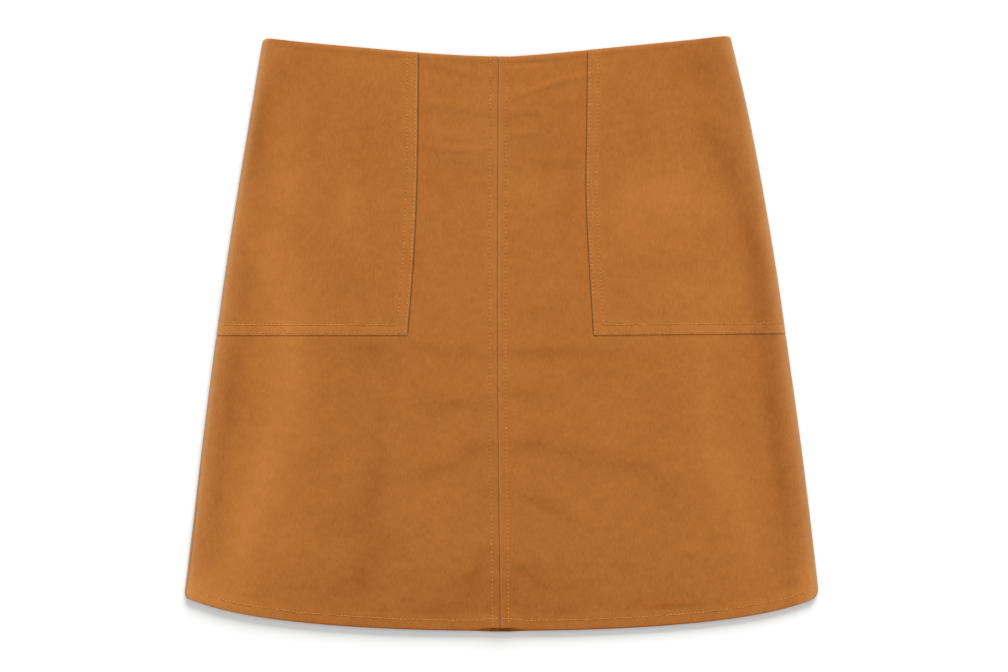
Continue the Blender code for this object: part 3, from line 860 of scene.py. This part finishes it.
def folded(points, facing, side, radius, lower_radius, lower_depth, inner_depth):
    """A panel's cloth with its lower edge, waist, inner edge and side edge turned under."""
    cloth = Cloth(points, facing)
    cloth.turn_under(0, True, lower_radius, lower_depth, radius)
    cloth.turn_under(0, False, radius, WAIST_TURN_DEPTH, radius)
    cloth.turn_under(1, side < 0, radius, inner_depth, radius)
    cloth.turn_under(1, side > 0, min(radius, SIDE_FOLD), SIDE_ALLOWANCE, radius)
    return cloth.grids[0]


def make_front(name, side, material):
    points = folded(front_points(side), 1, side, FOLD, HEM_FOLD, HEM_TURN_DEPTH, SEAM_ALLOWANCE)
    x, y = points[:, :, 0], points[:, :, 1]
    from_seam = np.abs(x - front_seam_x(drop_at(x, y)))
    # Painted highlight on the seam's folds, painted shade in the seam and along the pocket's inner edge.
    pale = painted_sheen(side, x, y) + fold_painted_sheen(SEAM_PAINTED_HIGHLIGHT[side], from_seam)
    nap_and_shading = nap_and_painted_light(side, x, y) - SEAM_LINE_PAINTED_SHADE * bell(from_seam, LINE_HALF)
    nap_and_shading -= POCKET_LINE_PAINTED_SHADE[side] * bell(from_pocket_edge(side, x, y), LINE_HALF)
    return add_cloth("front_" + name, points, 1, nap_and_shading, pale, material)


def make_pocket(name, side, material):
    points = folded(pocket_points(side), 1, side, POCKET_FOLD, POCKET_FOLD, POCKET_TURN_DEPTH,
                    POCKET_TURN_DEPTH)
    x, y = points[:, :, 0], points[:, :, 1]
    lower = y - pocket_bottom_y(x)
    inner = np.abs(x - pocket_edge_at(side, y))
    # Painted highlights on the folded edges, painted light on the stitched bands, painted shade along the
    # inner edge.
    pale = painted_sheen(side, x, y) + fold_painted_sheen(POCKET_PAINTED_HIGHLIGHT[side], inner) + fold_painted_sheen(POCKET_LOWER_HIGHLIGHT, lower)
    light = np.maximum(POCKET_HEM_PAINTED_LIGHT * fall(lower, POCKET_LIGHT_START, POCKET_LIGHT_REACH),
                       POCKET_EDGE_PAINTED_LIGHT * fall(inner, POCKET_LIGHT_START, POCKET_LIGHT_REACH))
    nap_and_shading = nap_and_painted_light(side, x, y) + light - POCKET_LINE_PAINTED_SHADE[side] * bell(inner, LINE_HALF)
    return add_cloth("pocket_" + name, points, 1, nap_and_shading, pale, material)


def make_back(name, side, material):
    points = back_points(side)
    swell = BACK_HEM_SWELL * arch(points[-1, :, :1], SIDE_LENGTH)
    points = folded(points, -1, side, FOLD, HEM_FOLD + swell, HEM_TURN_DEPTH, SEAM_ALLOWANCE)
    x, y = points[:, :, 0], points[:, :, 1]
    # Painted light, shade and sheen as on the fronts.
    return add_cloth("back_" + name, points, -1, nap_and_painted_light(side, x, y), painted_sheen(side, x, y), material)


# ---- stitches

def resampled(line, step):
    """Points along a line at an even step, with as many as fit."""
    lengths = np.concatenate([[0.0], np.cumsum(np.linalg.norm(np.diff(line, axis=0), axis=1))])
    places = np.arange(0.0, lengths[-1], step)
    return np.stack([np.interp(places, lengths, line[:, axis]) for axis in range(3)], axis=1)


def turns(count):
    """Even angles round a circle."""
    return np.arange(count) * 2.0 * math.pi / count


def stitch_row(line, facing):
    """Points of the stitches along a line, and of the needle holes between them."""
    holes = resampled(line, STITCH_PITCH)
    chance = np.random.default_rng(len(line))
    starts, ends = holes[:-1], holes[1:]
    middle = (starts + ends) / 2.0
    along = unit(ends - starts)
    across = unit(np.cross(along, (0.0, 0.0, facing)))
    up = np.cross(across, along)
    uneven = chance.normal(size=(3, len(starts), 1))
    middle = middle + across * STITCH_SWAY * uneven[0] + up * STITCH_LIFT_VARY * uneven[1]
    length = STITCH_LENGTH * (1.0 + STITCH_LENGTH_VARY * np.clip(uneven[2], *STITCH_LENGTH_LIMITS))
    threads = []
    for ring in STITCH_RINGS:
        lift = (STITCH_RAISE if ring.height > 0.0 else STITCH_SINK) * ring.height
        centre = middle + along * ring.place * length + up * lift
        for turn in turns(THREAD_SIDES):
            around = across * math.cos(turn) + up * math.sin(turn)
            threads.append(centre + THREAD_RADIUS * ring.size * around)
    rims = [starts + up * HOLE_LIFT]
    for turn in turns(HOLE_SIDES):
        rims.append(starts + up * HOLE_RIM_LIFT + along * HOLE_LENGTH * math.cos(turn)
                    + across * HOLE_HALF * math.sin(turn))
    return np.stack(threads, axis=1), np.stack(rims, axis=1)


def tube_faces(rings, sides):
    """Faces of an open tube whose points go round one ring after another."""
    faces = []
    for low in range(0, (rings - 1) * sides, sides):
        for corner in range(sides):
            after = (corner + 1) % sides
            faces.append((low + corner, low + after, low + sides + after, low + sides + corner))
    return np.array(faces)


def hole_faces():
    return np.array([(0, 1 + corner, 1 + (corner + 1) % HOLE_SIDES) for corner in range(HOLE_SIDES)])


def repeated(blocks, faces):
    """Points and faces of many copies of one small shape."""
    count, size = blocks.shape[:2]
    shifts = (np.arange(count) * size)[:, None, None]
    return blocks.reshape(-1, 3), (faces[None] + shifts).reshape(-1, faces.shape[1]).tolist()


def add_stitches(name, lines, thread, hole, facing=1):
    rows = [stitch_row(line, facing) for line in lines]
    faces = tube_faces(len(STITCH_RINGS), THREAD_SIDES)
    points, faces = repeated(np.concatenate([row[0] for row in rows]), faces)
    threads = add_mesh("stitches_" + name, points, faces, thread)
    points, faces = repeated(np.concatenate([row[1] for row in rows]), hole_faces())
    holes = add_mesh("holes_" + name, points, faces, hole)
    for obj, slot in ((threads, "thread"), (holes, "suede")):
        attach(obj, "skirt")


def seam_stitch_line(side):
    """Down beside the centre front seam."""
    start, end = SEAM_STITCH_ENDS
    drop = spaced(start, SIDE_LENGTH - end, LINE_STEP)
    x = front_seam_x(drop) + side * SEAM_STITCH[side]
    y = row_y(x, drop) + ARCH_SHIFT * arch(x, drop) + FRONT_HEM_STEP * near_hem(drop)
    return np.stack([x, y, front_height(side, x, drop)], axis=1)


def pocket_stitch_line(side, offset):
    """Down beside the pocket's inner edge, round its corner and along the bottom to the side."""
    corner_y = pocket_bottom_y(pocket_edge_x(side, POCKET_SIDE_DROP)) + offset
    y_down = spaced(waist_y(pocket_edge_x(side, 0.0)) - POCKET_STITCH_START, corner_y, LINE_STEP)
    x_down = pocket_edge_at(side, y_down) + side * offset
    side_x = tube_x(side, POCKET_SIDE_DROP) - side * ROLL * POCKET_STITCH_END
    x_out = spaced(x_down[-1], side_x, LINE_STEP)
    y_out = pocket_bottom_y(x_out) + offset
    x, y = np.concatenate([x_down, x_out[1:]]), np.concatenate([y_down, y_out[1:]])
    return np.stack([x, y, pocket_height(side, x, y)], axis=1)


def hem_stitch_line(side, front):
    """Along the hem of the front or the back, from its centre seam to the side."""
    drop = np.array([SIDE_LENGTH - HEM_STITCH])
    start = front_seam_x(drop)[0] if front else BACK_SEAM_X
    end = tube_x(side, drop)[0] - side * HEM_STITCH_END[side]
    x = spaced(start + side * HEM_STITCH_START, end, LINE_STEP)
    lift = ARCH_SHIFT * arch(x, drop) + FRONT_HEM_STEP if front else 0.0
    height = front_height(side, x, drop) if front else back_height(x, drop)
    return np.stack([x, row_y(x, drop) + lift, height], axis=1)


def make_stitches(thread, hole):
    add_stitches("front_seam", [seam_stitch_line(side) for side in (-1, 1)], thread, hole)
    for name, side in SIDES:
        lines = [pocket_stitch_line(side, offset) for offset in POCKET_STITCHES]
        add_stitches("pocket_" + name, lines, thread, hole)
    add_stitches("front_hem", [hem_stitch_line(side, True) for side in (-1, 1)], thread, hole)
    add_stitches("back_hem", [hem_stitch_line(side, False) for side in (-1, 1)], thread, hole, -1)


# ---- zip

def tape_height(x, drop):
    return back_bottom(x, row_y(x, drop)) + CLOTH + GAP


def make_zip_tape(material):
    """Two woven bands, closed along the middle below the slider."""
    bands = []
    for side in (-1, 1):
        drop = spaced(ZIP_TOP_DROP, ZIP_END_DROP, EDGE_STEP)
        inner = np.where(drop > TAPE_NOTCH_DROP, TAPE_MEET, TAPE_NOTCH_HALF)[:, None]
        x = BACK_SEAM_X + side * mix(inner, TAPE_HALF, np.linspace(0.0, 1.0, TAPE_COLUMNS))
        points = np.stack([x, row_y(x, drop[:, None]), tape_height(x, drop[:, None])], axis=2)
        points = points if side > 0 else points[:, ::-1]
        upper = points + np.array([0.0, 0.0, TAPE_THICKNESS])
        bands += [(upper, 1), (points, -1)]
    vertices, faces, shift = [], [], 0
    for points, facing in bands:
        rows, columns = points.shape[:2]
        faces += (np.array(grid_faces(rows, columns, facing)) + shift).tolist()
        vertices.append(points.reshape(-1, 3))
        shift += rows * columns
    tape = add_mesh("zip_tape_woven", np.concatenate(vertices), faces, material)
    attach(tape, "skirt")
    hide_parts("zip_tape")
    return tape


def make_zip_coil(material):
    """The closed coil: a bent loop for each tooth, from either side in turn."""
    teeth = []
    drops = np.arange(TAPE_NOTCH_DROP + COIL_PITCH, ZIP_END_DROP - COIL_PITCH, COIL_PITCH)
    for index, drop in enumerate(drops):
        side = -1 if index % 2 else 1
        centre_y = float(row_y(np.array(BACK_SEAM_X), drop))
        base = float(tape_height(np.array(BACK_SEAM_X), drop)) + TAPE_THICKNESS
        tooth = []
        for part in np.linspace(0.0, 1.0, COIL_RINGS):
            x = BACK_SEAM_X + side * (COIL_HALF - COIL_WIRE - part * (COIL_HALF + COIL_WIRE))
            z = base + COIL_RISE / 2.0 + COIL_BEND * math.sin(part * math.pi)
            tooth += [(x, centre_y + COIL_WIRE * math.cos(turn), z + COIL_WIRE * math.sin(turn))
                      for turn in turns(COIL_SIDES)]
        teeth.append(tooth)
    points, faces = repeated(np.array(teeth), tube_faces(COIL_RINGS, COIL_SIDES))
    coil = add_mesh("zip_coil", points, faces, material)
    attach(coil, "skirt")


# ---- materials

class Nodes:
    """Short calls for building one material's nodes. A value is plain, or another node's output."""

    def __init__(self, name):
        self.material = bpy.data.materials.new(name)
        self.material.use_nodes = True
        self.tree = self.material.node_tree

    def fill(self, node, values):
        for name, value in values.items():
            socket = node.inputs[name]
            if isinstance(value, bpy.types.NodeSocket):
                self.tree.links.new(value, socket)
            else:
                socket.default_value = (*value, 1.0) if socket.type == "RGBA" else value

    def add(self, kind, inputs, **settings):
        node = self.tree.nodes.new(kind)
        for key, value in settings.items():
            setattr(node, key, value)
        self.fill(node, inputs)
        return node

    def shade(self, values):
        """Fill the shader's own sockets, which finishes the material."""
        self.fill(self.tree.nodes["Principled BSDF"], values)
        return self.material

    def place(self, scale):
        """Object coordinates times a scale for each axis, per metre."""
        coordinates = self.add("ShaderNodeTexCoord", {}).outputs["Object"]
        return self.add("ShaderNodeMapping", {"Vector": coordinates, "Scale": scale}).outputs["Vector"]

    def noise(self, scale, detail=2.0, roughness=0.5):
        """Noise from 0 to 1 with its own size along each axis."""
        inputs = {"Vector": self.place(scale), "Scale": 1.0, "Detail": detail, "Roughness": roughness}
        return self.add("ShaderNodeTexNoise", inputs).outputs["Fac"]

    def attribute(self, name):
        return self.add("ShaderNodeAttribute", {}, attribute_name=name).outputs["Fac"]

    def math(self, operation, first, second):
        return self.add("ShaderNodeMath", {0: first, 1: second}, operation=operation).outputs["Value"]

    def total(self, terms, start):
        """start plus each source times its weight, where a noise source counts from its middle."""
        result = start
        for source, weight, middle in terms:
            part = self.math("MULTIPLY", self.math("SUBTRACT", source, middle), weight)
            result = self.math("ADD", part, result)
        return result

    def mixed(self, factor, dark, light):
        """A colour between two."""
        node = self.add("ShaderNodeMix", {"Factor": factor}, data_type="RGBA", clamp_factor=False)
        first, second = (index for index, socket in enumerate(node.inputs) if socket.type == "RGBA")
        self.fill(node, {first: dark, second: light})
        return next(socket for socket in node.outputs if socket.type == "RGBA")

    def bump(self, height, strength, distance):
        inputs = {"Height": height, "Strength": strength, "Distance": distance}
        return self.add("ShaderNodeBump", inputs).outputs["Normal"]


SUEDE_DARK = (0.238, 0.069, 0.0084)
SUEDE_LIGHT = (0.397, 0.143, 0.0290)
PAINTED_SHEEN_COLOUR = (0.53, 0.40, 0.22)  # the pale colour of the painted sheen and highlights
SHEEN_TINT = (1.0, 0.72, 0.45)
HOLE_PAINTED_SHADE = 0.93  # painted shade in the needle holes: their colours are the cloth's times this
THREAD_DARK = (0.35, 0.128, 0.027)
THREAD_LIGHT = (0.57, 0.255, 0.075)
TAPE_DARK = (0.20, 0.070, 0.020)
TAPE_LIGHT = (0.32, 0.12, 0.038)
COIL_DARK = (0.24, 0.085, 0.026)
COIL_LIGHT = (0.34, 0.125, 0.040)
ENAMEL = (0.33, 0.125, 0.045)
ZINC = (0.48, 0.44, 0.40)
PAPER_DARK = (0.775,) * 3
PAPER_LIGHT = (0.785,) * 3


def suede_material(name, deepen=1.0):
    """Brushed twill: short streaks along the length, fine grain, and slow clouds where the fibres lie
    lighter or darker.
    """
    nodes = Nodes(name)
    streaks = nodes.noise((900.0, 220.0, 500.0), detail=3.0, roughness=0.6)
    grain = nodes.noise((1500.0, 1100.0, 1300.0), detail=3.0, roughness=0.7)
    cloud = nodes.noise((110.0, 130.0, 110.0), detail=3.0, roughness=0.65)
    drift = nodes.noise((14.0, 11.0, 12.0))
    # The tone takes painted light and shade, with the fibres' own lie, from the cloth's attribute.
    tone = nodes.total([(streaks, 0.66, 0.5), (grain, 0.55, 0.5), (cloud, 0.52, 0.5), (drift, 0.10, 0.5),
                        (nodes.attribute("nap_and_painted_light"), 0.36, 0.0)], 0.48)
    dark, light = (tuple(value * deepen for value in colour) for colour in (SUEDE_DARK, SUEDE_LIGHT))
    height = nodes.total([(grain, 0.6, 0.5), (streaks, 0.5, 0.5)], 0.0)
    # The base colour goes towards the pale colour of the painted sheen and highlights.
    return nodes.shade({
        "Base Color": nodes.mixed(nodes.attribute("painted_sheen"), nodes.mixed(tone, dark, light), PAINTED_SHEEN_COLOUR),
        "Roughness": 0.95, "Specular IOR Level": 0.15,
        "Sheen Weight": 0.25, "Sheen Roughness": 0.45, "Sheen Tint": SHEEN_TINT,
        "Normal": nodes.bump(height, strength=0.28, distance=0.0003),
    })


def thread_material(name):
    """Twisted polyester thread."""
    nodes = Nodes(name)
    twist = nodes.noise((1800.0,) * 3)
    wear = nodes.noise((210.0,) * 3, roughness=0.6)
    tone = nodes.total([(twist, 0.5, 0.5), (wear, 2.2, 0.5)], 0.45)
    return nodes.shade({
        "Base Color": nodes.mixed(tone, THREAD_DARK, THREAD_LIGHT),
        "Roughness": 0.7, "Specular IOR Level": 0.1,
        "Normal": nodes.bump(twist, strength=0.3, distance=0.0001),
    })


def tape_material(name):
    """Woven polyester zip tape with a herringbone-like grain."""
    nodes = Nodes(name)
    inputs = {"Vector": nodes.place((1.0,) * 3), "Scale": 500.0, "Distortion": 1.0}
    weave = nodes.add("ShaderNodeTexWave", inputs, wave_type="BANDS", bands_direction="DIAGONAL")
    weave = weave.outputs["Fac"]
    tone = nodes.total([(weave, 0.5, 0.5), (nodes.noise((900.0,) * 3), 0.5, 0.5)], 0.5)
    return nodes.shade({
        "Base Color": nodes.mixed(tone, TAPE_DARK, TAPE_LIGHT),
        "Roughness": 0.8,
        "Normal": nodes.bump(weave, strength=0.4, distance=0.0002),
    })


def coil_material(name):
    """Dyed nylon monofilament."""
    nodes = Nodes(name)
    return nodes.shade({
        "Base Color": nodes.mixed(nodes.noise((600.0,) * 3), COIL_DARK, COIL_LIGHT),
        "Roughness": 0.35,
    })


def enamel_material(name):
    """Tan enamel over zinc, with small rubs where the metal shows."""
    nodes = Nodes(name)
    rubs = nodes.noise((700.0,) * 3, detail=4.0, roughness=0.6)
    speckle = nodes.noise((3000.0,) * 3)
    worn = nodes.math("GREATER_THAN", rubs, 0.66)
    return nodes.shade({
        "Base Color": nodes.mixed(worn, ENAMEL, ZINC),
        "Metallic": worn,
        "Roughness": nodes.math("ADD", nodes.math("MULTIPLY", speckle, 0.15), 0.28),
        "Normal": nodes.bump(speckle, strength=0.1, distance=0.0001),
    })


def floor_material(name):
    """Plain matt white paper."""
    nodes = Nodes(name)
    return nodes.shade({
        "Base Color": nodes.mixed(nodes.noise((3.0,) * 3), PAPER_DARK, PAPER_LIGHT),
        "Roughness": 0.9, "Specular IOR Level": 0.1,
    })


def repaint_metal(material):
    for name in ("zip_slider", "pull_tab"):
        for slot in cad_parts[name].material_slots:
            slot.material = material


# ---- studio

# Lights, their places and the floor's half width are in metres
FLOOR_HALF = 30.0
FLOOR_DROP = 0.1  # millimetres below the underside
LENS = 100.0
SENSOR = 36.0
VIEW_WIDTH = 780.4  # how much of the cloth's plane the image is wide
VIEW_MIDDLE = (2.0, -1.7)
VIEW_END = 200.0  # how far the camera sees, in metres
KEY_DISTANCE = 8.0
KEY_ELEVATION = 25.0  # degrees
KEY_AZIMUTH = 8.0  # degrees to the right of straight above the waist
KEY_SIZE = (5.2, 3.8)
KEY_POWER = 1000.0
KEY_COLOUR = (1.0, 0.995, 0.985)
TOP_HEIGHT = 3.2
TOP_SIZE = (2.6, 2.6)
TOP_POWER = 26.0
WHITE = (1.0, 1.0, 1.0)
WORLD_LIGHT = 0.57


def make_floor():
    corners = [(-1, -1), (1, -1), (1, 1), (-1, 1)]
    points = [(x * FLOOR_HALF / MM, y * FLOOR_HALF / MM, -FLOOR_DROP) for x, y in corners]
    floor = add_mesh("floor", points, [(0, 1, 2, 3)], floor_material("paper"), False)


def add_area_light(name, place, size, power, colour):
    light = bpy.data.lights.new(name, "AREA")
    light.shape = "RECTANGLE"
    light.size, light.size_y = size
    light.energy = power
    light.color = colour
    obj = bpy.data.objects.new(name, light)
    obj.location = place
    obj.rotation_euler = (-Vector(place)).to_track_quat("-Z", "Y").to_euler()
    bpy.context.scene.collection.objects.link(obj)


def make_lights():
    turn, aside = math.radians(KEY_ELEVATION), math.radians(KEY_AZIMUTH)
    key_place = (KEY_DISTANCE * math.cos(turn) * math.sin(aside),
                 KEY_DISTANCE * math.cos(turn) * math.cos(aside), KEY_DISTANCE * math.sin(turn))
    add_area_light("key", key_place, KEY_SIZE, KEY_POWER, KEY_COLOUR)
    add_area_light("top", (0.0, 0.0, TOP_HEIGHT), TOP_SIZE, TOP_POWER, WHITE)
    world = bpy.data.worlds.new("studio")
    world.use_nodes = True
    background = world.node_tree.nodes["Background"]
    background.inputs["Color"].default_value = (*WHITE, 1.0)
    background.inputs["Strength"].default_value = WORLD_LIGHT
    bpy.context.scene.world = world
    bpy.context.scene.view_settings.view_transform = "Standard"


def make_camera():
    data = bpy.data.cameras.new("camera")
    data.lens = LENS
    data.sensor_width = SENSOR
    data.clip_end = VIEW_END
    camera = bpy.data.objects.new("camera", data)
    height = VIEW_WIDTH * LENS / SENSOR + REST_HEIGHT + CLOTH
    camera.location = (VIEW_MIDDLE[0] * MM, VIEW_MIDDLE[1] * MM, height * MM)
    bpy.context.scene.collection.objects.link(camera)
    bpy.context.scene.camera = camera


# ---- the scene


def main():
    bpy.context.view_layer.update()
    suede = suede_material("suede")
    # Needle holes in a darker copy of the cloth: painted shade in the pits.
    hole = suede_material("suede_painted_hole_shade", HOLE_PAINTED_SHADE)
    thread = thread_material("thread")
    make_camera()
    make_lights()
    make_floor()
    backs = [make_back(name, side, suede) for name, side in SIDES]
    fronts = [make_front(name, side, suede) for name, side in SIDES]
    pockets = [make_pocket(name, side, suede) for name, side in SIDES]
    make_stitches(thread, hole)
    tape = make_zip_tape(tape_material("zip_tape"))
    make_zip_coil(coil_material("zip_coil"))
    repaint_metal(enamel_material("zip_enamel"))


main()
